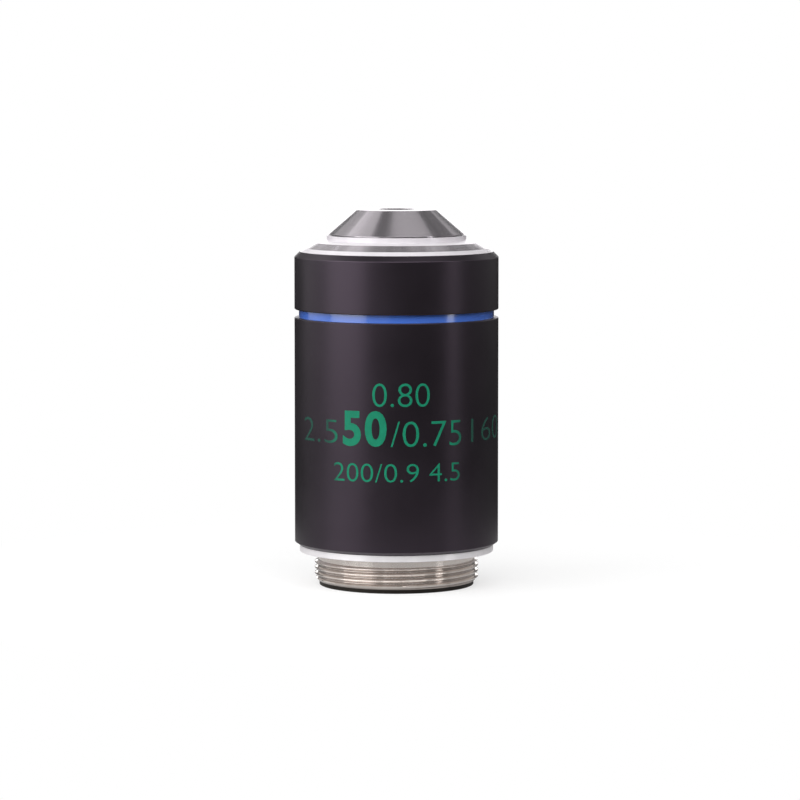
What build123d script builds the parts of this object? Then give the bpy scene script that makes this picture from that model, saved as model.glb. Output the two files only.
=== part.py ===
from build123d import *
from math import cos, radians, sin, sqrt
import os

# A microscope objective of fixed length, in millimetres.
# The origin is on the optical axis at the mounting shoulder, and +Z runs to the front lens.
# The nose ends 42.3 mm ahead of the shoulder, which is the usual 45 mm from shoulder to specimen
# less a working distance of a little under 3 mm.

os.makedirs("parts", exist_ok=True)

# Clearances: on the radius, apart from the cement between two lenses, which is along the axis
slide_gap = 0.02
screw_gap = 0.03
lens_gap = 0.01
cement_gap = 0.01

# Mounting thread, drawn at its outside diameter, with an undercut neck at the shoulder
thread_diameter = 20.32
thread_length = 3.7
thread_lead_in = 0.5
thread_wall = 1.96
neck_depth = 0.46
neck_length = 1.0

# Shoulder flange and barrel
flange_height = 0.77
flange_step = 0.6
barrel_wall = 1.38
barrel_end_gap = 0.2
tube_seat_height = 2.0
front_thread_step = 0.38

# Black sleeve and collar with the coloured ring between them
sleeve_wall = 1.18
sleeve_length = 28.23
sleeve_foot_height = 0.43
sleeve_edge_step = 0.65
sleeve_edge_break = 0.08
ring_height = 1.0
ring_wall = 0.63
collar_length = 7.1
collar_brow_height = 0.65

# Stepped cap screwed into the front of the barrel
cap_bevel_height = 0.45
cap_bevel_width = 0.6
cap_cone_height = 0.7
cap_cone_width = 1.2
cap_shelf_height = 0.25
cap_shelf_width = 1.55
cap_land_height = 0.6
cap_land_width = 0.9
cap_hollow_rise = 0.2
cap_skirt_length = 1.6
cap_skirt_wall = 1.3

# Nose that carries the front lenses, standing a shadow line clear of the cap
nose_gap = 0.1
nose_shadow_line = 0.15
nose_cone_height = 3.05
nose_base_step = 0.1
nose_tip_diameter = 9.8
nose_tip_break = 0.1
nose_wall = 2.39
nose_thread_length = 3.7
nose_throat_step = 0.5
nose_throat_length = 0.6
front_seat_rim = 0.2
aperture_diameter = 4.7
aperture_lip_height = 0.25
aperture_lip_width = 0.55

# Lens tube, the shim that sets its height and the ring that locks it in the barrel
tube_wall = 2.0
tube_lip_height = 0.8
tube_lip_width = 1.0
shim_height = 0.3
shim_edge_gap = 0.12
shim_width = 1.6
tube_lock_height = 1.5
tube_lock_width = 2.1
tube_lock_gap = 0.3
tube_lock_relief = 0.3

# Cells that hold the lenses
cell_diameter = 15.96
doublet_cell_wall = 1.77
triplet_cell_wall = 2.07
rear_cell_wall = 3.37
meniscus_cell_wall = 0.88
cell_lip_width = 0.5
cell_lip_height = 0.6
cell_end_margin = 0.4
centring_gap = 0.1

# Lenses, front to rear. The height of a face or joint is from its rim to its crown, positive
# where it swells forwards, and an edge thickness is that of the glass at its rim. Each cell's
# wall sets the diameter of the lenses in it.
front_lens_edge_thickness = 1.2
front_lens_rear_face_height = -1.4

meniscus_front_face_height = -1.1
meniscus_edge_thickness = 1.7
meniscus_rear_face_height = -2.0

doublet_front_face_height = 1.1
doublet_crown_edge_thickness = 1.2
doublet_joint_height = -1.3
doublet_flint_edge_thickness = 2.6
doublet_rear_face_height = -0.5

triplet_front_face_height = 1.0
triplet_front_edge_thickness = 1.0
triplet_front_joint_height = -0.9
triplet_middle_edge_thickness = 2.6
triplet_rear_joint_height = 0.8
triplet_rear_edge_thickness = 1.0
triplet_rear_face_height = -0.9

rear_lens_front_face_height = 0.5
rear_lens_crown_edge_thickness = 0.9
rear_lens_joint_height = -0.6
rear_lens_flint_edge_thickness = 1.9
rear_lens_rear_face_height = 0.4

# Spacers, aperture stop and screwed rings
spacer_length = 1.0
spacer_wall = 1.4
stop_height = 0.3
stop_diameter = 6.4
stack_lock_height = 1.6
stack_lock_width = 1.6
nose_lock_height = 1.2
nose_lock_width = 1.4
rear_ring_height = 0.5
rear_ring_step = 0.59
rear_ring_spigot_length = 1.5
rear_ring_wall = 1.8
spanner_slot_width = 0.9
spanner_slot_depth = 0.35

# Screws that push the triplet's cell on centre
centring_screw_count = 3
centring_screw_diameter = 1.6
centring_screw_recess = 0.25
screw_slot_width = 0.3
screw_slot_depth = 0.5
access_hole_gap = 0.25

# Radii of the shells, from the cells out to the sleeves
cell_radius = cell_diameter / 2
tube_bore = cell_radius + slide_gap
tube_radius = tube_bore + tube_wall
barrel_bore = tube_radius + slide_gap
barrel_radius = barrel_bore + barrel_wall
flange_radius = barrel_radius + flange_step
sleeve_bore = barrel_radius + slide_gap
sleeve_radius = sleeve_bore + sleeve_wall
ring_radius = sleeve_bore + ring_wall
front_thread_bore = barrel_bore + front_thread_step
thread_radius = thread_diameter / 2
throat_radius = thread_radius - thread_wall

# Radii of the cap and the nose, from the collar's brow in to the front lens
cap_rim_radius = sleeve_radius - sleeve_edge_step
cap_cone_radius = cap_rim_radius - cap_bevel_width
cap_shelf_radius = cap_cone_radius - cap_cone_width
cap_land_radius = cap_shelf_radius - cap_shelf_width
cap_bore = cap_land_radius - cap_land_width
cap_skirt_radius = front_thread_bore - screw_gap
nose_skirt_radius = cap_bore - nose_gap
nose_base_radius = cap_land_radius - nose_base_step
nose_thread_bore = nose_skirt_radius + screw_gap
nose_cell_bore = nose_skirt_radius - nose_wall
meniscus_cell_radius = nose_cell_bore - slide_gap
front_lens_radius = aperture_diameter / 2 + aperture_lip_width
nose_throat_radius = front_lens_radius + nose_throat_step

# Heights of the outside, counted up from the shoulder
sleeve_top = flange_height + sleeve_length
ring_top = sleeve_top + ring_height
collar_top = ring_top + collar_length
cap_bevel_top = collar_top + cap_bevel_height
cap_cone_top = cap_bevel_top + cap_cone_height
cap_shelf_top = cap_cone_top + cap_shelf_height
cap_top = cap_shelf_top + cap_land_height
nose_base = cap_top + nose_shadow_line
nose_top = nose_base + nose_cone_height

# Heights of the inside, counted down from the cap and the nose, and up from the tube's seat
barrel_top = collar_top - barrel_end_gap
cap_skirt_end = collar_top - cap_skirt_length
tube_lock_top = cap_skirt_end - tube_lock_gap
tube_top = tube_lock_top - tube_lock_height
nose_skirt_end = tube_top - nose_thread_length
stack_top = nose_skirt_end - tube_lip_height
tube_foot = tube_seat_height + shim_height
stack_foot = tube_foot + stack_lock_height
front_lens_face = nose_top - aperture_lip_height
front_seat_end = front_lens_face - front_lens_edge_thickness - front_seat_rim
meniscus_cell_top = front_seat_end - nose_throat_length


def fall(height, rim, radius):
    # How far a face of this height has dropped from its crown at this radius, on the sphere
    # through the crown and the rim
    if height == 0:
        return 0
    sphere = (rim**2 + height**2) / (2 * abs(height))
    drop = sphere - sqrt(sphere**2 - radius**2)
    return drop if height > 0 else -drop


def crown_under_lip(lip, height, rim):
    # Crown height of the first face of a lens that rests against its cell's lip: a swelling
    # face meets the lip's inner corner, and a flat or hollow one meets the lip at its rim
    contact = rim - cell_lip_width if height > 0 else rim
    return lip + fall(height, rim, contact)


def face_crowns(first_crown, rim, heights, edges):
    # Crown heights of the faces of a cemented group, front to rear
    rim_height = first_crown - fall(heights[0], rim, rim)
    crowns = [first_crown]
    for height, edge in zip(heights[1:], edges):
        rim_height -= edge
        crowns.append(rim_height + fall(height, rim, rim))
    return crowns


def cell_length(rim, heights, edges):
    # Front end to rear end of a cell that covers its whole group with a margin behind it
    crowns = face_crowns(crown_under_lip(0, heights[0], rim), rim, heights, edges)
    last_rim = crowns[-1] - fall(heights[-1], rim, rim)
    return cell_lip_height - min(crowns[-1], last_rim) + cell_end_margin


# Rims of the lenses, and the triplet's cell, which has room to be pushed on centre
triplet_cell_radius = cell_radius - centring_gap
meniscus_radius = meniscus_cell_radius - meniscus_cell_wall - lens_gap
doublet_radius = cell_radius - doublet_cell_wall - lens_gap
triplet_radius = triplet_cell_radius - triplet_cell_wall - lens_gap
rear_lens_radius = cell_radius - rear_cell_wall - lens_gap

# The four groups behind the front lens: rim radius, face heights and edges, front to rear
meniscus = (
    meniscus_radius,
    (meniscus_front_face_height, meniscus_rear_face_height),
    (meniscus_edge_thickness,),
)
doublet = (
    doublet_radius,
    (doublet_front_face_height, doublet_joint_height, doublet_rear_face_height),
    (doublet_crown_edge_thickness, doublet_flint_edge_thickness),
)
triplet = (
    triplet_radius,
    (
        triplet_front_face_height,
        triplet_front_joint_height,
        triplet_rear_joint_height,
        triplet_rear_face_height,
    ),
    (triplet_front_edge_thickness, triplet_middle_edge_thickness, triplet_rear_edge_thickness),
)
rear_lens = (
    rear_lens_radius,
    (rear_lens_front_face_height, rear_lens_joint_height, rear_lens_rear_face_height),
    (rear_lens_crown_edge_thickness, rear_lens_flint_edge_thickness),
)

# The stack in the lens tube: down from the tube's lip, and up from the ring that locks it
meniscus_cell_foot = meniscus_cell_top - cell_length(*meniscus)
doublet_cell_foot = stack_top - cell_length(*doublet)
triplet_cell_top = doublet_cell_foot - spacer_length
triplet_cell_foot = triplet_cell_top - cell_length(*triplet)
rear_cell_top = stack_foot + cell_length(*rear_lens)
stop_top = rear_cell_top + stop_height
centring_height = (triplet_cell_top + triplet_cell_foot) / 2


def radial_planes(distance):
    # One plane for each centring screw, facing outwards at this distance from the axis
    step = 360 / centring_screw_count
    turns = [radians(90 + step * number) for number in range(centring_screw_count)]
    return [
        Plane(
            origin=(distance * cos(turn), distance * sin(turn), centring_height),
            x_dir=(0, 0, 1),
            z_dir=(cos(turn), sin(turn), 0),
        )
        for turn in turns
    ]


def write_part(part, label):
    part.label = label
    export_step(part, f"parts/{label}.step")


def make_lens(label, rim, front_crown, front_height, rear_crown, rear_height):
    # A lens turned from its half section, with its curved faces as true arcs
    half = rim / 2
    front_mid = (half, front_crown - fall(front_height, rim, half))
    front_rim = (rim, front_crown - fall(front_height, rim, rim))
    rear_mid = (half, rear_crown - fall(rear_height, rim, half))
    rear_rim = (rim, rear_crown - fall(rear_height, rim, rim))
    with BuildPart() as lens:
        with BuildSketch(Plane.XZ):
            with BuildLine():
                if front_height == 0:
                    Line((0, front_crown), front_rim)
                else:
                    ThreePointArc((0, front_crown), front_mid, front_rim)
                Line(front_rim, rear_rim)
                ThreePointArc(rear_rim, rear_mid, (0, rear_crown))
                Line((0, rear_crown), (0, front_crown))
            make_face()
        revolve(axis=Axis.Z)
    write_part(lens.part, label)


def make_group(labels, lip, rim, heights, edges):
    # The lenses of a group, front to rear, each a film of cement behind the one before
    crowns = face_crowns(crown_under_lip(lip, heights[0], rim), rim, heights, edges)
    for place, label in enumerate(labels):
        film = cement_gap if place > 0 else 0
        make_lens(label, rim, crowns[place] - film, heights[place], crowns[place + 1], heights[place + 1])


def make_cell(label, radius, rim, top, foot):
    # A turned cell, open to the rear, with the lip in front that its lens rests against
    bore = rim + lens_gap
    lip_bore = rim - cell_lip_width
    lip = top - cell_lip_height
    with BuildPart() as cell:
        with BuildSketch(Plane.XZ):
            with BuildLine():
                Polyline(
                    (lip_bore, top),
                    (radius, top),
                    (radius, foot),
                    (bore, foot),
                    (bore, lip),
                    (lip_bore, lip),
                    close=True,
                )
            make_face()
        revolve(axis=Axis.Z)
    write_part(cell.part, label)


def make_plain_ring(label, outer, inner, foot, top):
    with BuildPart() as ring:
        with BuildSketch(Plane.XY.offset(foot)):
            Circle(outer)
            Circle(inner, mode=Mode.SUBTRACT)
        extrude(amount=top - foot)
    write_part(ring.part, label)


def make_lock_ring(label, outer, inner, foot, top, slots_in_front):
    # A screwed ring, with a spanner slot on each side of the face that the spanner reaches
    slot_floor = top - spanner_slot_depth if slots_in_front else foot
    with BuildPart() as ring:
        with BuildSketch(Plane.XY.offset(foot)):
            Circle(outer)
            Circle(inner, mode=Mode.SUBTRACT)
        extrude(amount=top - foot)
        with BuildSketch(Plane.XY.offset(slot_floor)):
            Rectangle(2 * outer, spanner_slot_width)
        extrude(amount=spanner_slot_depth, mode=Mode.SUBTRACT)
    write_part(ring.part, label)


def make_mount_barrel():
    # One turned piece: mounting thread, undercut neck, shoulder flange and long barrel
    neck_radius = thread_radius - neck_depth
    step_height = tube_top - tube_lock_relief
    with BuildPart() as mount_barrel:
        with BuildSketch(Plane.XZ):
            with BuildLine():
                Polyline(
                    (throat_radius, -thread_length),
                    (thread_radius, -thread_length),
                    (thread_radius, -neck_length),
                    (neck_radius, -neck_length),
                    (neck_radius, 0),
                    (flange_radius, 0),
                    (flange_radius, flange_height),
                    (barrel_radius, flange_height),
                    (barrel_radius, barrel_top),
                    (front_thread_bore, barrel_top),
                    (front_thread_bore, step_height),
                    (barrel_bore, step_height),
                    (barrel_bore, tube_seat_height),
                    (throat_radius, tube_seat_height),
                    close=True,
                )
            make_face()
        revolve(axis=Axis.Z)
        end_circles = mount_barrel.edges().filter_by(GeomType.CIRCLE).group_by(Axis.Z)[0]
        chamfer(end_circles.sort_by(SortBy.RADIUS)[-1], length=thread_lead_in)
        # Holes that let a key reach the centring screws before the sleeve goes on
        with BuildSketch(*radial_planes(tube_bore)):
            Circle(centring_screw_diameter / 2 + access_hole_gap)
        extrude(amount=barrel_radius, mode=Mode.SUBTRACT)
    write_part(mount_barrel.part, "mount_barrel")


def make_main_sleeve():
    # Long thin sleeve that slides over the barrel down to the flange, bevelled at its foot
    with BuildPart() as main_sleeve:
        with BuildSketch(Plane.XZ):
            with BuildLine():
                Polyline(
                    (sleeve_bore, flange_height),
                    (sleeve_radius - sleeve_edge_step, flange_height),
                    (sleeve_radius, flange_height + sleeve_foot_height),
                    (sleeve_radius, sleeve_top),
                    (sleeve_bore, sleeve_top),
                    close=True,
                )
            make_face()
        revolve(axis=Axis.Z)
        top_circles = main_sleeve.edges().filter_by(GeomType.CIRCLE).group_by(Axis.Z)[-1]
        chamfer(top_circles.sort_by(SortBy.RADIUS)[-1], length=sleeve_edge_break)
    write_part(main_sleeve.part, "main_sleeve")


def make_front_collar():
    # Short sleeve ahead of the coloured ring, bevelled towards the cap
    with BuildPart() as front_collar:
        with BuildSketch(Plane.XZ):
            with BuildLine():
                Polyline(
                    (sleeve_bore, ring_top),
                    (sleeve_radius, ring_top),
                    (sleeve_radius, collar_top - collar_brow_height),
                    (cap_rim_radius, collar_top),
                    (sleeve_bore, collar_top),
                    close=True,
                )
            make_face()
        revolve(axis=Axis.Z)
        foot_circles = front_collar.edges().filter_by(GeomType.CIRCLE).group_by(Axis.Z)[0]
        chamfer(foot_circles.sort_by(SortBy.RADIUS)[-1], length=sleeve_edge_break)
    write_part(front_collar.part, "front_collar")


def make_front_cap():
    # Hollow screwed cap: rim bevel, steep cone, nearly flat shelf and the land round the nose
    hollow_radius = cap_skirt_radius - cap_skirt_wall
    hollow_top = collar_top + cap_hollow_rise
    with BuildPart() as front_cap:
        with BuildSketch(Plane.XZ):
            with BuildLine():
                Polyline(
                    (cap_skirt_radius, cap_skirt_end),
                    (cap_skirt_radius, collar_top),
                    (cap_rim_radius, collar_top),
                    (cap_cone_radius, cap_bevel_top),
                    (cap_shelf_radius, cap_cone_top),
                    (cap_land_radius, cap_shelf_top),
                    (cap_land_radius, cap_top),
                    (cap_bore, cap_top),
                    (cap_bore, hollow_top),
                    (hollow_radius, hollow_top),
                    (hollow_radius, cap_skirt_end),
                    close=True,
                )
            make_face()
        revolve(axis=Axis.Z)
    write_part(front_cap.part, "front_cap")


def make_nose_cone():
    # Cone and screwed skirt in one piece, bored in steps for the front lens and the cell behind it
    seat_radius = front_lens_radius + lens_gap
    with BuildPart() as nose_cone:
        with BuildSketch(Plane.XZ):
            with BuildLine():
                Polyline(
                    (nose_cell_bore, nose_skirt_end),
                    (nose_skirt_radius, nose_skirt_end),
                    (nose_skirt_radius, nose_base),
                    (nose_base_radius, nose_base),
                    (nose_tip_diameter / 2, nose_top),
                    (aperture_diameter / 2, nose_top),
                    (aperture_diameter / 2, front_lens_face),
                    (seat_radius, front_lens_face),
                    (seat_radius, front_seat_end),
                    (nose_throat_radius, front_seat_end),
                    (nose_throat_radius, meniscus_cell_top),
                    (nose_cell_bore, meniscus_cell_top),
                    close=True,
                )
            make_face()
        revolve(axis=Axis.Z)
        tip_circles = nose_cone.edges().filter_by(GeomType.CIRCLE).group_by(Axis.Z)[-1]
        chamfer(tip_circles.sort_by(SortBy.RADIUS)[-1], length=nose_tip_break)
    write_part(nose_cone.part, "nose_cone")


def make_lens_tube():
    # Inner tube: the cells load from the rear against its lip, and the nose screws in ahead of it
    lip_bore = nose_skirt_radius - tube_lip_width
    with BuildPart() as lens_tube:
        with BuildSketch(Plane.XZ):
            with BuildLine():
                Polyline(
                    (tube_bore, tube_foot),
                    (tube_radius, tube_foot),
                    (tube_radius, tube_top),
                    (nose_thread_bore, tube_top),
                    (nose_thread_bore, nose_skirt_end),
                    (lip_bore, nose_skirt_end),
                    (lip_bore, stack_top),
                    (tube_bore, stack_top),
                    close=True,
                )
            make_face()
        revolve(axis=Axis.Z)
        with BuildSketch(*radial_planes(triplet_cell_radius)):
            Circle(centring_screw_diameter / 2 + screw_gap)
        extrude(amount=tube_radius, mode=Mode.SUBTRACT)
    write_part(lens_tube.part, "lens_tube")


def make_centring_screws():
    # Headless screws in the wall of the lens tube, with their tips on the triplet's cell
    screw_length = tube_radius - centring_screw_recess - triplet_cell_radius
    with BuildPart() as centring_screws:
        with BuildSketch(*radial_planes(triplet_cell_radius)):
            Circle(centring_screw_diameter / 2)
        extrude(amount=screw_length)
        with BuildSketch(*radial_planes(triplet_cell_radius + screw_length - screw_slot_depth)):
            Rectangle(centring_screw_diameter, screw_slot_width)
        extrude(amount=screw_slot_depth, mode=Mode.SUBTRACT)
    write_part(centring_screws.part, "centring_screws")


def make_rear_ring():
    # Black stop ring that closes the thread end: a spigot in the throat under a flat flange
    flange_foot = -thread_length - rear_ring_height
    spigot_radius = throat_radius - screw_gap
    ring_bore = spigot_radius - rear_ring_wall
    with BuildPart() as rear_ring:
        with BuildSketch(Plane.XZ):
            with BuildLine():
                Polyline(
                    (ring_bore, flange_foot),
                    (thread_radius - rear_ring_step, flange_foot),
                    (thread_radius - rear_ring_step, -thread_length),
                    (spigot_radius, -thread_length),
                    (spigot_radius, rear_ring_spigot_length - thread_length),
                    (ring_bore, rear_ring_spigot_length - thread_length),
                    close=True,
                )
            make_face()
        revolve(axis=Axis.Z)
        with BuildSketch(Plane.XY.offset(flange_foot)):
            Rectangle(2 * thread_radius, spanner_slot_width)
        extrude(amount=spanner_slot_depth, mode=Mode.SUBTRACT)
    write_part(rear_ring.part, "rear_ring")


def make_front_lens():
    # Thick plano-convex lens, flat towards the specimen and seated behind the aperture's lip
    rim_rear = front_lens_face - front_lens_edge_thickness
    rear_crown = rim_rear + front_lens_rear_face_height
    make_lens("front_lens", front_lens_radius, front_lens_face, 0, rear_crown, front_lens_rear_face_height)


def make_outside():
    make_mount_barrel()
    make_main_sleeve()
    make_plain_ring("colour_ring", ring_radius, sleeve_bore, sleeve_top, ring_top)
    make_front_collar()
    make_front_cap()
    make_nose_cone()
    make_rear_ring()


def make_nose_optics():
    # The meniscus in its cell, pressed against the nose's shoulder by a lock ring
    rim = meniscus[0]
    lock_radius = nose_cell_bore - screw_gap
    lock_foot = meniscus_cell_foot - nose_lock_height
    make_front_lens()
    make_group(["meniscus_lens"], meniscus_cell_top - cell_lip_height, *meniscus)
    make_cell("meniscus_cell", meniscus_cell_radius, rim, meniscus_cell_top, meniscus_cell_foot)
    make_lock_ring(
        "nose_lock_ring", lock_radius, lock_radius - nose_lock_width, lock_foot, meniscus_cell_foot, False
    )


def make_tube_optics():
    # Doublet, triplet and rear lens in their cells, held apart by spacers
    spacer_bore = cell_radius - spacer_wall
    make_group(["doublet_crown", "doublet_flint"], stack_top - cell_lip_height, *doublet)
    make_cell("doublet_cell", cell_radius, doublet[0], stack_top, doublet_cell_foot)
    make_plain_ring("short_spacer", cell_radius, spacer_bore, triplet_cell_top, doublet_cell_foot)
    make_group(
        ["triplet_front", "triplet_middle", "triplet_rear"], triplet_cell_top - cell_lip_height, *triplet
    )
    make_cell("triplet_cell", triplet_cell_radius, triplet[0], triplet_cell_top, triplet_cell_foot)
    make_plain_ring("long_spacer", cell_radius, spacer_bore, stop_top, triplet_cell_foot)
    make_plain_ring("aperture_stop", cell_radius, stop_diameter / 2, rear_cell_top, stop_top)
    make_group(["rear_crown", "rear_flint"], rear_cell_top - cell_lip_height, *rear_lens)
    make_cell("rear_cell", cell_radius, rear_lens[0], rear_cell_top, stack_foot)


def make_tube_fittings():
    # The lens tube with the shim under it, the rings that lock it and its centring screws
    shim_radius = tube_radius - shim_edge_gap
    stack_lock_radius = tube_bore - screw_gap
    stack_lock_bore = stack_lock_radius - stack_lock_width
    tube_lock_radius = front_thread_bore - screw_gap
    tube_lock_bore = tube_lock_radius - tube_lock_width
    make_lens_tube()
    make_centring_screws()
    make_plain_ring("height_shim", shim_radius, shim_radius - shim_width, tube_seat_height, tube_foot)
    make_lock_ring("stack_lock_ring", stack_lock_radius, stack_lock_bore, tube_foot, stack_foot, False)
    make_lock_ring("tube_lock_ring", tube_lock_radius, tube_lock_bore, tube_top, tube_lock_top, True)


make_outside()
make_nose_optics()
make_tube_optics()
make_tube_fittings()
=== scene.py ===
import math

import bmesh
import bpy
import numpy as np
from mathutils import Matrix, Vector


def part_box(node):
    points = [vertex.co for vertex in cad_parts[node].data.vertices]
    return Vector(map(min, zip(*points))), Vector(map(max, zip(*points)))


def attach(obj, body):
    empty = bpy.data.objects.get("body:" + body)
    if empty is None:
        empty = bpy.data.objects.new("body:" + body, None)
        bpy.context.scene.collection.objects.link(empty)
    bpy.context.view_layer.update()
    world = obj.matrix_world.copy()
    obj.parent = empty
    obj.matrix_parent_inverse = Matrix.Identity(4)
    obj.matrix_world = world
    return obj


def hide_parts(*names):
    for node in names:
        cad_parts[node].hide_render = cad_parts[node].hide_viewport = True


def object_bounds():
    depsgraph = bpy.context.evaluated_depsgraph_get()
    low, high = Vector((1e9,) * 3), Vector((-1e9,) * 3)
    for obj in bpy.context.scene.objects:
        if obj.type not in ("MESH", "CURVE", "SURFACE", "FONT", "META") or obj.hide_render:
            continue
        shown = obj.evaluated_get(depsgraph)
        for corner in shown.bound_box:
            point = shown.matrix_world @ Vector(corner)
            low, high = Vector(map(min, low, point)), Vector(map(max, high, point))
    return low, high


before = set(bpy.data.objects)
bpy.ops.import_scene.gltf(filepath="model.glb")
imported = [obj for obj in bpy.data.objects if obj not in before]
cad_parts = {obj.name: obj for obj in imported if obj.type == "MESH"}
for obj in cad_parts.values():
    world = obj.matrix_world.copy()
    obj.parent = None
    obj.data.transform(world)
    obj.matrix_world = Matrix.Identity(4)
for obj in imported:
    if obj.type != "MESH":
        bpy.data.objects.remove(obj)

# A microscope objective standing on its thread. Sizes of the pieces are millimetres, those of
# the floor and lamps are metres, and angles are degrees. Azimuth 0 looks at the camera, with
# positive angles to its right.

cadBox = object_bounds()
millimetre = 0.001


turning = {
    "segments": 256,
    "cornerSteps": 5,
    "support": 0.012,
    "sharpAngle": 32,
    "mergeDistance": 0.0006,
    "rodSteps": 49,
}

# How far a corner of an outline is rounded, in millimetres
crisp = 0.02
eased = 0.03
softened = 0.04
rounded = 0.06


def surfaceMesh(name, points, across, along):
    # A surface given as a grid of points: each point is joined to the next one across and the
    # next one along. Seams and poles meet because points in the same place become one.
    rowCount, columnCount = points.shape[:2]
    number = np.arange(rowCount * columnCount).reshape(rowCount, columnCount)
    corners = [number[:-1, :-1], number[:-1, 1:], number[1:, 1:], number[1:, :-1]]
    quads = np.stack(corners, axis=-1).reshape(-1, 4)
    mesh = bpy.data.meshes.new(name)
    mesh.from_pydata((points.reshape(-1, 3) * millimetre).tolist(), [], quads.tolist())
    unwrapped = np.stack([across, along], axis=-1).reshape(-1, 2)
    mesh.uv_layers.new(name="turned").data.foreach_set("uv", unwrapped[quads].ravel())
    return mesh


def joinMeshes(name, meshes):
    work = bmesh.new()
    for mesh in meshes:
        work.from_mesh(mesh)
        bpy.data.meshes.remove(mesh)
    bmesh.ops.remove_doubles(work, verts=work.verts, dist=turning["mergeDistance"] * millimetre)
    joined = bpy.data.meshes.new(name)
    work.to_mesh(joined)
    work.free()
    return joined


def roundCorners(outline):
    # Every corner of a closed outline becomes a short curve between the two straights, with one
    # more point on each straight so that the flats shade flat
    table = np.array(outline, float)
    place, rounding = table[:, :2], table[:, 2:]
    back = np.roll(place, 1, axis=0) - place
    ahead = np.roll(place, -1, axis=0) - place
    back /= np.linalg.norm(back, axis=1, keepdims=True)
    ahead /= np.linalg.norm(ahead, axis=1, keepdims=True)
    start = (place + back * rounding)[:, None]
    end = (place + ahead * rounding)[:, None]
    share = np.linspace(0, 1, turning["cornerSteps"])[None, :, None]
    curve = (1 - share) ** 2 * start + 2 * share * (1 - share) * place[:, None] + share**2 * end
    before = start + back[:, None] * turning["support"]
    after = end + ahead[:, None] * turning["support"]
    return np.concatenate([before, curve, after], axis=1).reshape(-1, 2)


def turnedMesh(name, rows):
    # Rows of radius and height carried round the axis: x is radius times the cosine of the turn,
    # y is radius times its sine, and z is height
    turn = np.linspace(0, 2 * math.pi, turning["segments"] + 1)
    radius, height = rows[:, :1], rows[:, 1:]
    flat = np.ones_like(turn)[None, :]
    points = np.stack([radius * np.cos(turn), radius * np.sin(turn), height * flat], axis=-1)
    steps = np.linalg.norm(np.diff(rows, axis=0), axis=1)
    travelled = np.concatenate([[0], np.cumsum(steps)])[:, None] * flat
    across = turn[None, :] / (2 * math.pi) * np.ones_like(radius)
    return surfaceMesh(name, points, across, travelled)


def closedTurning(name, outline):
    rows = roundCorners(outline)
    return joinMeshes(name, [turnedMesh(name, np.concatenate([rows, rows[:1]]))])


def cutAway(mesh, cutters):
    # Takes the cutters' volume out of a closed mesh
    work = bpy.data.objects.new("work", mesh)
    bpy.context.scene.collection.objects.link(work)
    tools = []
    for cutter in cutters:
        tool = bpy.data.objects.new("tool", cutter)
        bpy.context.scene.collection.objects.link(tool)
        cut = work.modifiers.new("cut", "BOOLEAN")
        cut.operation = "DIFFERENCE"
        cut.solver = "EXACT"
        cut.object = tool
        tools.append(tool)
    graph = bpy.context.evaluated_depsgraph_get()
    result = bpy.data.meshes.new_from_object(work.evaluated_get(graph))
    result.name = mesh.name
    for spent in [work] + tools:
        bpy.data.objects.remove(spent)
    return result


def addPiece(mesh, name, material, replaced=()):
    mesh.name = name
    mesh.materials.clear()
    mesh.materials.append(material)
    mesh.shade_smooth()
    mesh.set_sharp_from_angle(angle=math.radians(turning["sharpAngle"]))
    piece = bpy.data.objects.new(name, mesh)
    bpy.context.scene.collection.objects.link(piece)
    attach(piece, "root")
    if replaced:
        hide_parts(*replaced)
    print("made", name, len(mesh.polygons), "faces")
    return piece


def linear(hexColour):
    # sRGB hex to the linear values that shaders take
    channels = np.array([int(hexColour[place : place + 2], 16) for place in (1, 3, 5)]) / 255
    straight = np.where(channels <= 0.04045, channels / 12.92, ((channels + 0.055) / 1.055) ** 2.4)
    return (*straight.tolist(), 1.0)


def addNode(tree, kind, settings=None, inputs=None):
    # One node with its settings; an input is a value, or an output socket to link from
    node = tree.nodes.new(kind)
    for key, value in (settings or {}).items():
        setattr(node, key, value)
    for key, value in (inputs or {}).items():
        if isinstance(value, bpy.types.NodeSocket):
            tree.links.new(value, node.inputs[key])
        else:
            node.inputs[key].default_value = value
    return node


def newMaterial(name):
    material = bpy.data.materials.new(name)
    material.use_nodes = True
    tree = material.node_tree
    tree.nodes.clear()
    return material, tree


def finishMaterial(tree, shader):
    addNode(tree, "ShaderNodeOutputMaterial", {}, {"Surface": shader.outputs[0]})


# Tool marks of a lathe run round the piece. The real feed is about 0.05 mm a turn, too fine to
# show, so the marks are drawn about 0.25 mm apart.
latheMarks = {
    "perMillimetre": 4.0,
    "streaks": 9.0,
    "bump": 0.06,
    "bumpHeight": 0.00001,
    "faintest": 0.6,
    "strongest": 1.4,
}


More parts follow.
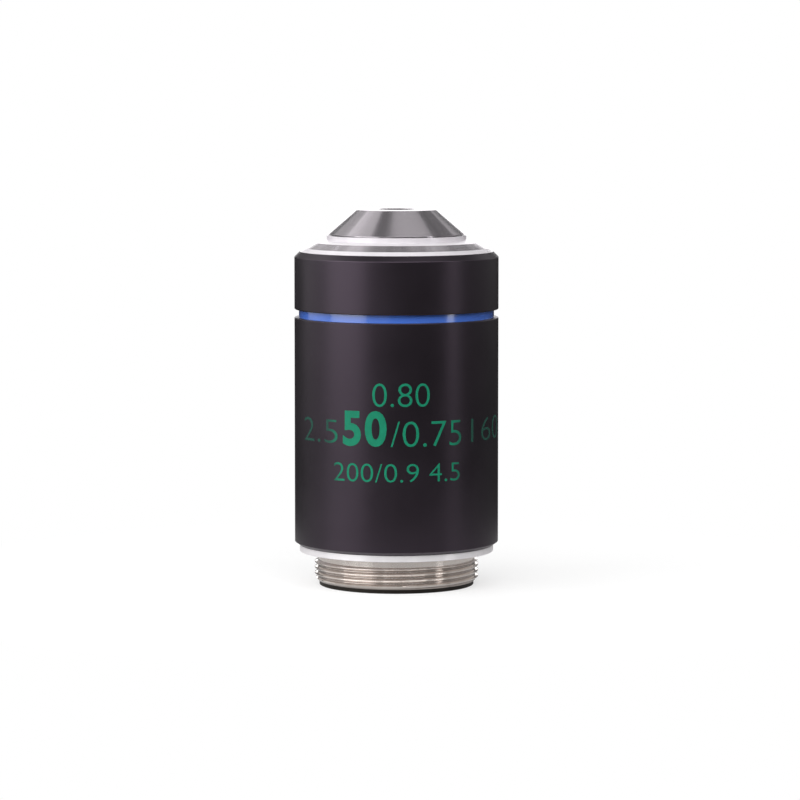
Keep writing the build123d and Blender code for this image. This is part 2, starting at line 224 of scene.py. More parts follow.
def platedMetal(name, turned, darkened=None, satin=None, band=None):
    # Turned and plated metal: tool marks round the piece spread its sheen along the axis, so each
    # light draws a clean streak up it. Where a satin is given, the surface is left as turned only
    # in the band of heights, and is blasted before plating elsewhere: paler, softer, no streaks.
    # It is darkened inside a radius and below a height: by black paint in the nose, and by painted
    # shade in the roots of a thread.
    material, tree = newMaterial(name)
    position = addNode(tree, "ShaderNodeTexCoord")
    unwrapped = addNode(tree, "ShaderNodeUVMap", {"uv_map": "turned"})
    travelled = addNode(tree, "ShaderNodeSeparateXYZ", {}, {0: unwrapped.outputs[0]})
    marks = addNode(
        tree,
        "ShaderNodeTexNoise",
        {"noise_dimensions": "1D"},
        {"W": travelled.outputs[1], "Scale": latheMarks["perMillimetre"], "Detail": 3.0},
    )
    flattened = addNode(
        tree,
        "ShaderNodeVectorMath",
        {"operation": "MULTIPLY"},
        {0: position.outputs["Object"], 1: (1, 1, 0)},
    )
    outward = addNode(
        tree, "ShaderNodeVectorMath", {"operation": "NORMALIZE"}, {0: flattened.outputs[0]}
    )
    streaks = addNode(
        tree,
        "ShaderNodeTexNoise",
        {},
        {"Vector": outward.outputs[0], "Scale": latheMarks["streaks"], "Detail": 2.0},
    )
    both = addNode(
        tree, "ShaderNodeMath", {"operation": "ADD"}, {0: marks.outputs[0], 1: streaks.outputs[0]}
    )
    colour = addNode(
        tree,
        "ShaderNodeMix",
        {"data_type": "RGBA"},
        {0: streaks.outputs[0], 6: linear(turned["low"]), 7: linear(turned["high"])},
    ).outputs[2]
    rough = addNode(
        tree,
        "ShaderNodeMapRange",
        {},
        {
            0: both.outputs[0],
            1: latheMarks["faintest"],
            2: latheMarks["strongest"],
            3: turned["smooth"],
            4: turned["rough"],
        },
    ).outputs[0]
    metallic = 1.0
    place = addNode(tree, "ShaderNodeSeparateXYZ", {}, {0: position.outputs["Object"]})
    if satin:
        middle, reach = (band[0] + band[1]) / 2, (band[1] - band[0]) / 2
        isTurned = addNode(
            tree,
            "ShaderNodeMath",
            {"operation": "COMPARE"},
            {0: place.outputs[2], 1: middle * millimetre, 2: reach * millimetre},
        ).outputs[0]
        satinColour = addNode(
            tree,
            "ShaderNodeMix",
            {"data_type": "RGBA"},
            {0: streaks.outputs[0], 6: linear(satin["low"]), 7: linear(satin["high"])},
        )
        colour = addNode(
            tree,
            "ShaderNodeMix",
            {"data_type": "RGBA"},
            {0: isTurned, 6: satinColour.outputs[2], 7: colour},
        ).outputs[2]
        satinRough = addNode(
            tree,
            "ShaderNodeMapRange",
            {},
            {
                0: both.outputs[0],
                1: latheMarks["faintest"],
                2: latheMarks["strongest"],
                3: satin["smooth"],
                4: satin["rough"],
            },
        )
        rough = addNode(
            tree,
            "ShaderNodeMix",
            {"data_type": "FLOAT"},
            {0: isTurned, 2: satinRough.outputs[0], 3: rough},
        ).outputs[0]
        metallic = addNode(
            tree, "ShaderNodeMapRange", {}, {0: isTurned, 3: satin["metallic"], 4: 1.0}
        ).outputs[0]
    if darkened:
        radius = addNode(
            tree, "ShaderNodeVectorMath", {"operation": "LENGTH"}, {0: flattened.outputs[0]}
        )
        inside = addNode(
            tree,
            "ShaderNodeMapRange",
            {},
            {
                0: radius.outputs["Value"],
                1: darkened["fullTo"] * millimetre,
                2: darkened["cleanFrom"] * millimetre,
                3: darkened["strength"],
                4: 0.0,
            },
        )
        below = addNode(
            tree,
            "ShaderNodeMath",
            {"operation": "LESS_THAN"},
            {0: place.outputs[2], 1: darkened["below"] * millimetre},
        )
        dark = addNode(
            tree,
            "ShaderNodeMath",
            {"operation": "MULTIPLY"},
            {0: inside.outputs[0], 1: below.outputs[0]},
        )
        colour = addNode(
            tree,
            "ShaderNodeMix",
            {"data_type": "RGBA"},
            {0: dark.outputs[0], 6: colour, 7: linear(darkened["colour"])},
        ).outputs[2]
    bump = addNode(
        tree,
        "ShaderNodeBump",
        {},
        {
            "Height": marks.outputs[0],
            "Strength": latheMarks["bump"],
            "Distance": latheMarks["bumpHeight"],
        },
    )
    tangent = addNode(tree, "ShaderNodeTangent", {"direction_type": "UV_MAP", "uv_map": "turned"})
    shader = addNode(
        tree,
        "ShaderNodeBsdfPrincipled",
        {},
        {
            "Base Color": colour,
            "Metallic": metallic,
            "Roughness": rough,
            "Anisotropic": turned["anisotropy"],
            "Anisotropic Rotation": 0.25,
            "Tangent": tangent.outputs[0],
            "Normal": bump.outputs[0],
        },
    )
    finishMaterial(tree, shader)
    return material


# Blasting grit leaves a grain of about 0.2 mm; the tank leaves clouds a few millimetres across.
blasting = {"grain": 5200.0, "cloud": 150.0, "bump": 0.12, "bumpHeight": 0.00001}
lacquer = {"roughness": 0.12, "ior": 1.6}
unevenness = {"least": 0.3, "most": 0.7}


def satinFilm(name, finish):
    # Blasted metal under a dyed or oxidised film: a very fine even grain and a soft satin sheen
    material, tree = newMaterial(name)
    position = addNode(tree, "ShaderNodeTexCoord")
    grain = addNode(
        tree,
        "ShaderNodeTexNoise",
        {},
        {"Vector": position.outputs["Object"], "Scale": blasting["grain"], "Detail": 2.0},
    )
    cloud = addNode(
        tree,
        "ShaderNodeTexNoise",
        {},
        {"Vector": position.outputs["Object"], "Scale": blasting["cloud"], "Detail": 4.0},
    )
    colour = addNode(
        tree,
        "ShaderNodeMix",
        {"data_type": "RGBA"},
        {0: cloud.outputs[0], 6: linear(finish["low"]), 7: linear(finish["high"])},
    )
    rough = addNode(
        tree,
        "ShaderNodeMapRange",
        {},
        {
            0: cloud.outputs[0],
            1: unevenness["least"],
            2: unevenness["most"],
            3: finish["smooth"],
            4: finish["rough"],
        },
    )
    bump = addNode(
        tree,
        "ShaderNodeBump",
        {},
        {
            "Height": grain.outputs[0],
            "Strength": blasting["bump"],
            "Distance": blasting["bumpHeight"],
        },
    )
    shader = addNode(
        tree,
        "ShaderNodeBsdfPrincipled",
        {},
        {
            "Base Color": colour.outputs[2],
            "Metallic": finish["metallic"],
            "Roughness": rough.outputs[0],
            "IOR": finish["ior"],
            "Specular Tint": linear(finish["tint"]),
            "Coat Weight": finish.get("lacquer", 0.0),
            "Coat Roughness": lacquer["roughness"],
            "Coat IOR": lacquer["ior"],
            "Normal": bump.outputs[0],
        },
    )
    finishMaterial(tree, shader)
    return material


glass = {"colour": "#e9f2ee", "film": "#b7d8c8", "haze": 900.0, "hazeRough": 0.03, "ior": 1.6}


def opticalGlass(name):
    # Polished crown glass with an antireflection film, which leaves a faint cool reflection
    material, tree = newMaterial(name)
    position = addNode(tree, "ShaderNodeTexCoord")
    haze = addNode(
        tree,
        "ShaderNodeTexNoise",
        {},
        {"Vector": position.outputs["Object"], "Scale": glass["haze"]},
    )
    rough = addNode(
        tree,
        "ShaderNodeMapRange",
        {},
        {
            0: haze.outputs[0],
            1: unevenness["least"],
            2: unevenness["most"],
            3: 0.0,
            4: glass["hazeRough"],
        },
    )
    shader = addNode(
        tree,
        "ShaderNodeBsdfPrincipled",
        {},
        {
            "Base Color": linear(glass["colour"]),
            "Roughness": rough.outputs[0],
            "IOR": glass["ior"],
            "Transmission Weight": 1.0,
            "Specular Tint": linear(glass["film"]),
        },
    )
    finishMaterial(tree, shader)
    return material


ink = {
    "low": "#0a7759",
    "high": "#118c6a",
    # The next colour is painted shade: the darker green given to the ink on the far left and right
    # of the sleeve.
    "thin": "#1c4a3f",
    "fullTo": 0.52,
    "thinFrom": 0.66,
    "mottle": 1800.0,
    "smooth": 0.5,
    "rough": 0.62,
    "specular": 0.25,
    "sleeveRadius": 12.6,
}


def printedInk(name):
    # Pad-printed enamel: flat and slightly uneven in strength. Painted shade: on the far left and
    # right of the sleeve the ink is mixed to a darker green, for the shade where it curves away
    # from the light.
    material, tree = newMaterial(name)
    position = addNode(tree, "ShaderNodeTexCoord")
    mottle = addNode(
        tree,
        "ShaderNodeTexNoise",
        {},
        {"Vector": position.outputs["Object"], "Scale": ink["mottle"], "Detail": 3.0},
    )
    full = addNode(
        tree,
        "ShaderNodeMix",
        {"data_type": "RGBA"},
        {0: mottle.outputs[0], 6: linear(ink["low"]), 7: linear(ink["high"])},
    )
    place = addNode(tree, "ShaderNodeSeparateXYZ", {}, {0: position.outputs["Object"]})
    # Painted shade: the ink turns to the darker green with distance left or right of the sleeve's
    # middle.
    sideways = addNode(tree, "ShaderNodeMath", {"operation": "ABSOLUTE"}, {0: place.outputs[0]})
    edge = ink["sleeveRadius"] * millimetre
    sideShadeShare = addNode(
        tree,
        "ShaderNodeMapRange",
        {},
        {0: sideways.outputs[0], 1: ink["fullTo"] * edge, 2: ink["thinFrom"] * edge},
    )
    colour = addNode(
        tree,
        "ShaderNodeMix",
        {"data_type": "RGBA"},
        {0: sideShadeShare.outputs[0], 6: full.outputs[2], 7: linear(ink["thin"])},
    )
    rough = addNode(
        tree, "ShaderNodeMapRange", {}, {0: mottle.outputs[0], 3: ink["smooth"], 4: ink["rough"]}
    )
    shader = addNode(
        tree,
        "ShaderNodeBsdfPrincipled",
        {},
        {
            "Base Color": colour.outputs[2],
            "Roughness": rough.outputs[0],
            "Specular IOR Level": ink["specular"],
        },
    )
    finishMaterial(tree, shader)
    return material


chromeTurned = {
    "low": "#c6bfc5",
    "high": "#d5cfd4",
    "smooth": 0.16,
    "rough": 0.26,
    "anisotropy": 0.8,
}
chromeSatin = {
    "low": "#dad5da",
    "high": "#e3dfe3",
    "smooth": 0.3,
    "rough": 0.38,
    "metallic": 0.15,
}
chromeFlange = {
    "low": "#ebe7ea",
    "high": "#f5f2f4",
    "smooth": 0.3,
    "rough": 0.38,
    "metallic": 0.3,
}
nickelTurned = {
    "low": "#dad0c9",
    "high": "#ebe4df",
    "smooth": 0.12,
    "rough": 0.2,
    "anisotropy": 0.8,
}
blackInside = {
    "colour": "#0d0b0a",
    "fullTo": 4.3,
    "cleanFrom": 4.4,
    "below": 42.27,
    "strength": 1.0,
}
# Painted shade: the roots of the thread are mixed towards a dark brown, for the shade that falls
# deep between the crests.
shadedRoots = {
    "colour": "#5a4c45",
    "fullTo": 9.72,
    "cleanFrom": 9.88,
    "below": -1.02,
    "strength": 0.45,
}
capTurned = (37.55, 38.25)  # the steep cone between the rim bevel and the shelf
threadTurned = (-3.95, -0.01)  # all that lies behind the shoulder
noseChrome = platedMetal("turnedChrome", chromeTurned, blackInside)
capChrome = platedMetal("satinAndTurnedChrome", chromeTurned, None, chromeSatin, capTurned)
threadNickel = platedMetal("turnedNickel", nickelTurned, shadedRoots, chromeFlange, threadTurned)

filmFinishes = {
    "blackAnodisedAluminium": {
        "low": "#0b0a0b",
        "high": "#0f0e0f",
        "metallic": 0.0,
        "smooth": 0.33,
        "rough": 0.39,
        "ior": 1.66,
        "tint": "#f6dcf8",
    },
    "blueAnodisedAluminium": {
        "low": "#416fd4",
        "high": "#4d7bde",
        "metallic": 0.0,
        "smooth": 0.16,
        "rough": 0.22,
        "ior": 1.7,
        "tint": "#ffffff",
        "lacquer": 1.0,
    },
    "blackenedEndBrass": {
        "low": "#0c0a08",
        "high": "#14100d",
        "metallic": 0.2,
        "smooth": 0.5,
        "rough": 0.62,
        "ior": 1.4,
        "tint": "#fff4ea",
    },
    "blackenedCellBrass": {
        "low": "#141210",
        "high": "#1d1915",
        "metallic": 0.2,
        "smooth": 0.55,
        "rough": 0.65,
        "ior": 1.4,
        "tint": "#fff4ea",
    },
    "bareBrass": {
        "low": "#c19a4d",
        "high": "#d0aa5c",
        "metallic": 1.0,
        "smooth": 0.24,
        "rough": 0.36,
        "ior": 1.5,
        "tint": "#ffffff",
    },
    "brushedSteel": {
        "low": "#a3a3a6",
        "high": "#bcbcbf",
        "metallic": 1.0,
        "smooth": 0.25,
        "rough": 0.38,
        "ior": 1.5,
        "tint": "#ffffff",
    },
}
film = {name: satinFilm(name, finish) for name, finish in filmFinishes.items()}
sleeveBlack = film["blackAnodisedAluminium"]
lensGlass = opticalGlass("coatedGlass")
markingGreen = printedInk("greenEnamel")
print("materials ready")

# Outside pieces. Each outline is radius, height and rounding, up the outside and down the bore.
sleeve = {
    "bore": 11.42,
    "radius": 12.6,
    "foot": 0.77,
    "footRadius": 11.95,
    "footTop": 1.2,
    "top": 29.0,
    "edge": 0.08,
    "rounding": 0.05,
}

addPiece(
    closedTurning(
        "sleeve",
        [
            (sleeve["bore"], sleeve["foot"], crisp),
            (sleeve["footRadius"], sleeve["foot"], eased),
            (sleeve["radius"], sleeve["footTop"], sleeve["rounding"]),
            (sleeve["radius"], sleeve["top"] - sleeve["edge"], eased),
            (sleeve["radius"] - sleeve["edge"], sleeve["top"], eased),
            (sleeve["bore"], sleeve["top"], crisp),
        ],
    ),
    "mainSleeve",
    sleeveBlack,
    ["main_sleeve"],
)

ring = {"bore": 11.42, "radius": 12.05, "foot": 29.0, "top": 30.0, "rounding": 0.02}
addPiece(
    closedTurning(
        "ring",
        [
            (ring["bore"], ring["foot"], ring["rounding"]),
            (ring["radius"], ring["foot"], ring["rounding"]),
            (ring["radius"], ring["top"], ring["rounding"]),
            (ring["bore"], ring["top"], ring["rounding"]),
        ],
    ),
    "colourRing",
    film["blueAnodisedAluminium"],
    ["colour_ring"],
)

collar = {
    "bore": 11.42,
    "radius": 12.6,
    "foot": 30.0,
    "edge": 0.08,
    "browFoot": 36.45,
    "browRadius": 11.95,
    "top": 37.1,
    "rounding": 0.08,
}
addPiece(
    closedTurning(
        "collar",
        [
            (collar["bore"], collar["foot"], crisp),
            (collar["radius"] - collar["edge"], collar["foot"], eased),
            (collar["radius"], collar["foot"] + collar["edge"], eased),
            (collar["radius"], collar["browFoot"], collar["rounding"]),
            (collar["browRadius"], collar["top"], eased),
            (collar["bore"], collar["top"], crisp),
        ],
    ),
    "frontCollar",
    sleeveBlack,
    ["front_collar"],
)

cap = {
    "skirtRadius": 10.37,
    "skirtFoot": 35.5,
    "hollowRadius": 9.07,
    "hollowTop": 37.3,
    "rimRadius": 11.95,
    "rimHeight": 37.1,
    "coneFoot": (11.35, 37.55),
    "coneTop": (10.15, 38.25),
    "landFoot": (8.6, 38.5),
    "landTop": 39.1,
    "bore": 7.7,
    "rounding": 0.05,
}
addPiece(
    closedTurning(
        "cap",
        [
            (cap["skirtRadius"], cap["skirtFoot"], eased),
            (cap["skirtRadius"], cap["rimHeight"], crisp),
            (cap["rimRadius"], cap["rimHeight"], eased),
            (*cap["coneFoot"], cap["rounding"]),
            (*cap["coneTop"], cap["rounding"]),
            (*cap["landFoot"], softened),
            (cap["landFoot"][0], cap["landTop"], softened),
            (cap["bore"], cap["landTop"], eased),
            (cap["bore"], cap["hollowTop"], crisp),
            (cap["hollowRadius"], cap["hollowTop"], crisp),
            (cap["hollowRadius"], cap["skirtFoot"], eased),
        ],
    ),
    "frontCap",
    capChrome,
    ["front_cap"],
)

nose = {
    "baseRadius": 8.5,
    "baseHeight": 39.25,
    "tipRadius": 4.9,
    "tipBreak": 0.1,
    "top": 42.3,
    "aperture": 2.35,
    "lensSeat": 2.91,
    "lensFace": 42.05,
    "seatEnd": 40.65,
    "throatRadius": 3.4,
    "throatEnd": 40.05,
    "cellBore": 5.21,
    "skirtRadius": 7.6,
    "skirtFoot": 30.0,
}
slopeAway = np.array([nose["baseRadius"] - nose["tipRadius"], nose["baseHeight"] - nose["top"]])
tipStart = slopeAway / np.linalg.norm(slopeAway) * nose["tipBreak"]
tipStart = tipStart + [nose["tipRadius"], nose["top"]]
addPiece(
    closedTurning(
        "nose",
        [
            (nose["skirtRadius"], nose["skirtFoot"], eased),
            (nose["skirtRadius"], nose["baseHeight"], crisp),
            (nose["baseRadius"], nose["baseHeight"], eased),
            (*tipStart.tolist(), eased),
            (nose["tipRadius"] - nose["tipBreak"], nose["top"], eased),
            (nose["aperture"], nose["top"], softened),
            (nose["aperture"], nose["lensFace"], crisp),
            (nose["lensSeat"], nose["lensFace"], crisp),
            (nose["lensSeat"], nose["seatEnd"], crisp),
            (nose["throatRadius"], nose["seatEnd"], crisp),
            (nose["throatRadius"], nose["throatEnd"], crisp),
            (nose["cellBore"], nose["throatEnd"], crisp),
            (nose["cellBore"], nose["skirtFoot"], eased),
        ],
    ),
    "noseCone",
    noseChrome,
    ["nose_cone"],
)

lens = {"radius": 2.9, "face": 42.05, "edge": 1.2, "bulge": 1.4, "steps": 24}


def lensRows():
    # Half outline of a plano-convex lens: the curved face is part of a circle whose radius is
    # (rim squared + bulge squared) / (twice the bulge)
    circle = (lens["radius"] ** 2 + lens["bulge"] ** 2) / (2 * lens["bulge"])
    swing = np.linspace(0, math.asin(lens["radius"] / circle), lens["steps"])
    centre = lens["face"] - lens["edge"] - lens["bulge"] + circle
    curved = np.stack([circle * np.sin(swing), centre - circle * np.cos(swing)], axis=-1)
    flat = np.array([[lens["radius"], lens["face"]], [0, lens["face"]]])
    return np.concatenate([curved, flat])


addPiece(
    joinMeshes("lens", [turnedMesh("lens", lensRows())]),
    "frontLens",
    lensGlass,
    ["front_lens"],
)

# Mounting thread: Whitworth form, 55 degrees, 36 turns to the inch, right-handed
thread = {
    "crestRadius": 10.16,
    "pitch": 25.4 / 36,
    "flankAngle": 27.5,
    "depthShare": 0.6403,
    "roundShare": 0.1373,
    "end": -3.7,
    "neck": -1.0,
    "endRadius": 9.66,
    "neckRadius": 9.7,
    "runOutSlope": 5.0,
    "leftCrest": -1.37,
    "curveSteps": 6,
    "flankSteps": 4,
    "firstTurn": -8,
    "lastTurn": 3,
}


def threadOutline():
    # One pitch of the thread, from crest to crest: a rounded crest and root joined by straight
    # flanks
    rounding = thread["roundShare"] * thread["pitch"]
    tilt = math.radians(90 - thread["flankAngle"])
    swing = np.linspace(-tilt, tilt, thread["curveSteps"])
    crestDrop = rounding * (1 - np.cos(swing))
    crest = np.stack([rounding * np.sin(swing), thread["crestRadius"] - crestDrop])
    rootRadius = thread["crestRadius"] - thread["depthShare"] * thread["pitch"]
    rootPlace = thread["pitch"] / 2 + rounding * np.sin(swing)
    root = np.stack([rootPlace, rootRadius + rounding * (1 - np.cos(swing))])
    share = np.linspace(0, 1, thread["flankSteps"])[None, 1:-1]
    down = crest[:, -1:] * (1 - share) + root[:, :1] * share
    nextCrest = crest[:, :1] + [[thread["pitch"]], [0]]
    up = root[:, -1:] * (1 - share) + nextCrest * share
    return np.concatenate([crest, down, root, up], axis=1)


def threadMesh():
    # Rows follow the helix: height is the row's own height plus one pitch for each turn, cut off
    # at the ends of the thread, and radius is the outline's, held under the lead-in and run-out
    turn = np.linspace(0, 2 * math.pi, turning["segments"] + 1)
    offset, radius = threadOutline()
    pitch = thread["pitch"]
    turns = np.arange(thread["firstTurn"], thread["lastTurn"])[:, None] * pitch
    rowHeight = (turns + offset).ravel()[:, None] + thread["leftCrest"]
    climb = pitch * (turn / (2 * math.pi) - 0.5)
    height = np.clip(rowHeight + climb, thread["end"], thread["neck"])
    phase = (height - thread["leftCrest"]) / pitch - turn / (2 * math.pi) + 0.5
    repeated = np.concatenate([offset, offset[:1] + pitch]) / pitch
    wholePitch = np.concatenate([radius, radius[:1]])
    form = np.interp((phase - repeated[0]) % 1 + repeated[0], repeated, wholePitch)
    leadIn = thread["endRadius"] + height - thread["end"]
    runOut = thread["neckRadius"] + thread["runOutSlope"] * (thread["neck"] - height)
    form = np.minimum(form, np.minimum(leadIn, runOut))
    points = np.stack([form * np.cos(turn), form * np.sin(turn), height], axis=-1)
    across = turn[None, :] / (2 * math.pi) * np.ones_like(height)
    return surfaceMesh("thread", points, across, rowHeight * np.ones_like(turn))


def rodMesh(radius, start, end, turnAngle, height):
    # A closed rod that lies level and points away from the axis at turnAngle
    angle = np.linspace(0, 2 * math.pi, turning["rodSteps"])
    reach = np.array([start, start, end, end])[:, None]
    size = np.array([0, radius, radius, 0])[:, None]
    sideways = size * np.cos(angle)
    upwards = size * np.sin(angle) + height
    along, across = math.radians(turnAngle), math.radians(turnAngle + 90)
    x = reach * math.cos(along) + sideways * math.cos(across)
    y = reach * math.sin(along) + sideways * math.sin(across)
    points = np.stack([x, y, upwards], axis=-1)
    return joinMeshes("rod", [surfaceMesh("rod", points, upwards * 0, upwards * 0)])


barrel = {
    "flangeRadius": 12.0,
    "flangeTop": 0.77,
    "radius": 11.4,
    "top": 36.9,
    "frontBore": 10.4,
    "step": 33.4,
    "bore": 10.02,
    "seat": 2.0,
    "throat": 8.2,
    "holeRadius": 1.05,
    "holeFrom": 9.0,
    "holeTo": 12.5,
    "holeTurns": (90, 210, 330),
}


def barrelMesh():
    outline = [
        (thread["neckRadius"], thread["neck"], 0),
        (thread["neckRadius"], 0, softened),
        (barrel["flangeRadius"], 0, rounded),
        (barrel["flangeRadius"], barrel["flangeTop"], rounded),
        (barrel["radius"], barrel["flangeTop"], eased),
        (barrel["radius"], barrel["top"], eased),
        (barrel["frontBore"], barrel["top"], eased),
        (barrel["frontBore"], barrel["step"], eased),
        (barrel["bore"], barrel["step"], eased),
        (barrel["bore"], barrel["seat"], eased),
        (barrel["throat"], barrel["seat"], eased),
        (barrel["throat"], thread["end"], eased),
        (thread["endRadius"], thread["end"], 0),
    ]
    plain = turnedMesh("barrel", roundCorners(outline)[1:-1])
    solid = joinMeshes("barrel", [plain, threadMesh()])
    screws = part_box("centring_screws")
    middle = (screws[0][2] + screws[1][2]) / 2 / millimetre
    holes = [
        rodMesh(barrel["holeRadius"], barrel["holeFrom"], barrel["holeTo"], turn, middle)
        for turn in barrel["holeTurns"]
    ]
    return cutAway(solid, holes)


addPiece(barrelMesh(), "mountBarrel", threadNickel, ["mount_barrel"])

end = {
    "foot": -4.2,
    "radius": 9.57,
    "face": -3.7,
    "spigotRadius": 8.17,
    "spigotTop": -2.2,
    "bore": 6.37,
    "slotWidth": 0.9,
    "slotDepth": 0.35,
    "slotReach": 11.0,
}


def slotMesh():
    # A bar across the lower face, cut away to leave the two spanner slots
    half = np.array([end["slotReach"], end["slotWidth"] / 2, end["slotDepth"]])
    lower = [(-1, -1, -1), (1, -1, -1), (1, 1, -1), (-1, 1, -1)]
    upper = [(-1, -1, 1), (1, -1, 1), (1, 1, 1), (-1, 1, 1)]
    corner = np.array(lower + upper)
    faces = [(0, 3, 2, 1), (4, 5, 6, 7), (0, 1, 5, 4), (1, 2, 6, 5), (2, 3, 7, 6), (3, 0, 4, 7)]
    mesh = bpy.data.meshes.new("slot")
    mesh.from_pydata(((corner * half + [0, 0, end["foot"]]) * millimetre).tolist(), [], faces)
    return mesh


def endMesh():
    outline = [
        (end["bore"], end["foot"], 0.05),
        (end["radius"], end["foot"], 0.08),
        (end["radius"], end["face"], eased),
        (end["spigotRadius"], end["face"], crisp),
        (end["spigotRadius"], end["spigotTop"], eased),
        (end["bore"], end["spigotTop"], eased),
    ]
    return cutAway(closedTurning("end", outline), [slotMesh()])


addPiece(endMesh(), "rearRing", film["blackenedEndBrass"], ["rear_ring"])


# Marking: plain numerals printed round the sleeve, placed by angle and height
marking = {
    "sunk": 0.02,
    "proud": 0.01,
    "slice": 0.3,
    "thickness": 0.5,
    "curveSteps": 5,
    "mergeDistance": 0.0001,
    "lines": [
        {
            "text": "0.80",
            "from": -13.4,
            "to": 18.6,
            "base": 18.95,
            "height": 2.85,
            "bold": -0.012,
        },
        {
            "text": "2.5",
            "from": -63.0,
            "to": -34.5,
            "base": 14.3,
            "height": 2.9,
            "bold": -0.014,
        },
        {
            "text": "50",
            "from": -31.0,
            "to": -5.4,
            "base": 14.1,
            "height": 4.35,
            "bold": 0.03,
            "apart": 1.12,
        },
        {
            "text": "/0.75",
            "from": -3.2,
            "to": 38.6,
            "base": 14.1,
            "height": 3.1,
            "bold": -0.012,
        },
        {
            "text": "160",
            "from": 46.0,
            "to": 79.0,
            "base": 14.3,
            "height": 2.9,
            "bold": -0.014,
        },
        {
            "text": "200/0.9 4.5",
            "from": -37.0,
            "to": 37.5,
            "base": 9.8,
            "height": 2.25,
            "bold": -0.01,
        },
    ],
}


def wrappedText(line):
    # Type set flat, then carried round the sleeve: distance along the line becomes an angle,
    # height stays, and thickness is counted out from the sleeve
    curve = bpy.data.curves.new("type", "FONT")
    curve.body = line["text"]
    curve.extrude = marking["thickness"]
    curve.offset = line["bold"]
    curve.resolution_u = marking["curveSteps"]
    curve.space_character = line.get("apart", 1.0)
    flat = bpy.data.objects.new("type", curve)
    bpy.context.scene.collection.objects.link(flat)
    graph = bpy.context.evaluated_depsgraph_get()
    mesh = bpy.data.meshes.new_from_object(flat.evaluated_get(graph))
    bpy.data.objects.remove(flat)
    points = np.zeros(len(mesh.vertices) * 3)
    mesh.vertices.foreach_get("co", points)
    points = points.reshape(-1, 3)
    low, high = points.min(axis=0), points.max(axis=0)
    arc = math.radians(line["to"] - line["from"]) * sleeve["radius"]
    points[:, 0] = (points[:, 0] - low[0]) / (high[0] - low[0]) * arc
    points[:, 1] = (points[:, 1] - low[1]) / (high[1] - low[1]) * line["height"]
    mesh.vertices.foreach_set("co", points.ravel())
    work = bmesh.new()
    work.from_mesh(mesh)
    bmesh.ops.remove_doubles(work, verts=work.verts, dist=marking["mergeDistance"])
    for distance in np.arange(marking["slice"], arc, marking["slice"]).tolist():
        everything = work.verts[:] + work.edges[:] + work.faces[:]
        bmesh.ops.bisect_plane(
            work, geom=everything, plane_co=(distance, 0, 0), plane_no=(1, 0, 0)
        )
    work.to_mesh(mesh)
    work.free()
    points = np.zeros(len(mesh.vertices) * 3)
    mesh.vertices.foreach_get("co", points)
    along, up, out = points.reshape(-1, 3).T
    turn = math.radians(line["from"]) + along / sleeve["radius"]
    reach = sleeve["radius"] + np.where(out > 0, marking["proud"], -marking["sunk"])
    wrapped = np.stack([reach * np.sin(turn), -reach * np.cos(turn), line["base"] + up], axis=-1)
    mesh.vertices.foreach_set("co", (wrapped * millimetre).ravel())
    return mesh


def markingMesh():
    work = bmesh.new()
    for line in marking["lines"]:
        work.from_mesh(wrappedText(line))
    mesh = bpy.data.meshes.new("marking")
    work.to_mesh(mesh)
    work.free()
    return mesh


addPiece(markingMesh(), "marking", markingGreen)

# Finish of the nodes kept from the model
finishes = {
    "meniscus_cell": film["blackenedCellBrass"],
    "nose_lock_ring": film["blackenedCellBrass"],
    "lens_tube": film["bareBrass"],
    "doublet_cell": film["blackenedCellBrass"],
    "short_spacer": film["blackenedCellBrass"],
    "triplet_cell": film["blackenedCellBrass"],
    "long_spacer": film["blackenedCellBrass"],
    "aperture_stop": film["blackenedCellBrass"],
    "rear_cell": film["blackenedCellBrass"],
    "stack_lock_ring": film["blackenedCellBrass"],
    "height_shim": film["bareBrass"],
    "tube_lock_ring": film["bareBrass"],
    "centring_screws": film["brushedSteel"],
    "meniscus_lens": lensGlass,
    "doublet_crown": lensGlass,
    "doublet_flint": lensGlass,
    "triplet_front": lensGlass,
    "triplet_middle": lensGlass,
    "triplet_rear": lensGlass,
    "rear_crown": lensGlass,
    "rear_flint": lensGlass,
}
for name, material in finishes.items():
    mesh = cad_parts[name].data
    mesh.materials.clear()
    mesh.materials.append(material)


view = {
    "distance": 468.0,
    "height": 61.5,
    "pitch": 5.23,
    "lens": 170.8,
    "sensor": 36.0,
    "shiftRight": 0.0044,
    "nearest": 0.01,
}
cameraData = bpy.data.cameras.new("camera")
cameraData.lens = view["lens"]
cameraData.sensor_width = view["sensor"]
cameraData.shift_x = view["shiftRight"]
cameraData.clip_start = view["nearest"]
camera = bpy.data.objects.new("camera", cameraData)
camera.location = (0, -view["distance"] * millimetre, view["height"] * millimetre)
camera.rotation_euler = (math.radians(90 - view["pitch"]), 0, 0)
bpy.context.scene.collection.objects.link(camera)
bpy.context.scene.camera = camera
bpy.context.scene.view_settings.view_transform = "Standard"

floorSettings = {
    "size": 3.0,
    "brightTo": 0.035,
    "darkFrom": 0.065,
    "glow": 0.55,
    "mirrored": 0.3,
    "farMirrored": 0.03,
    "albedo": "#b4b4b4",
}


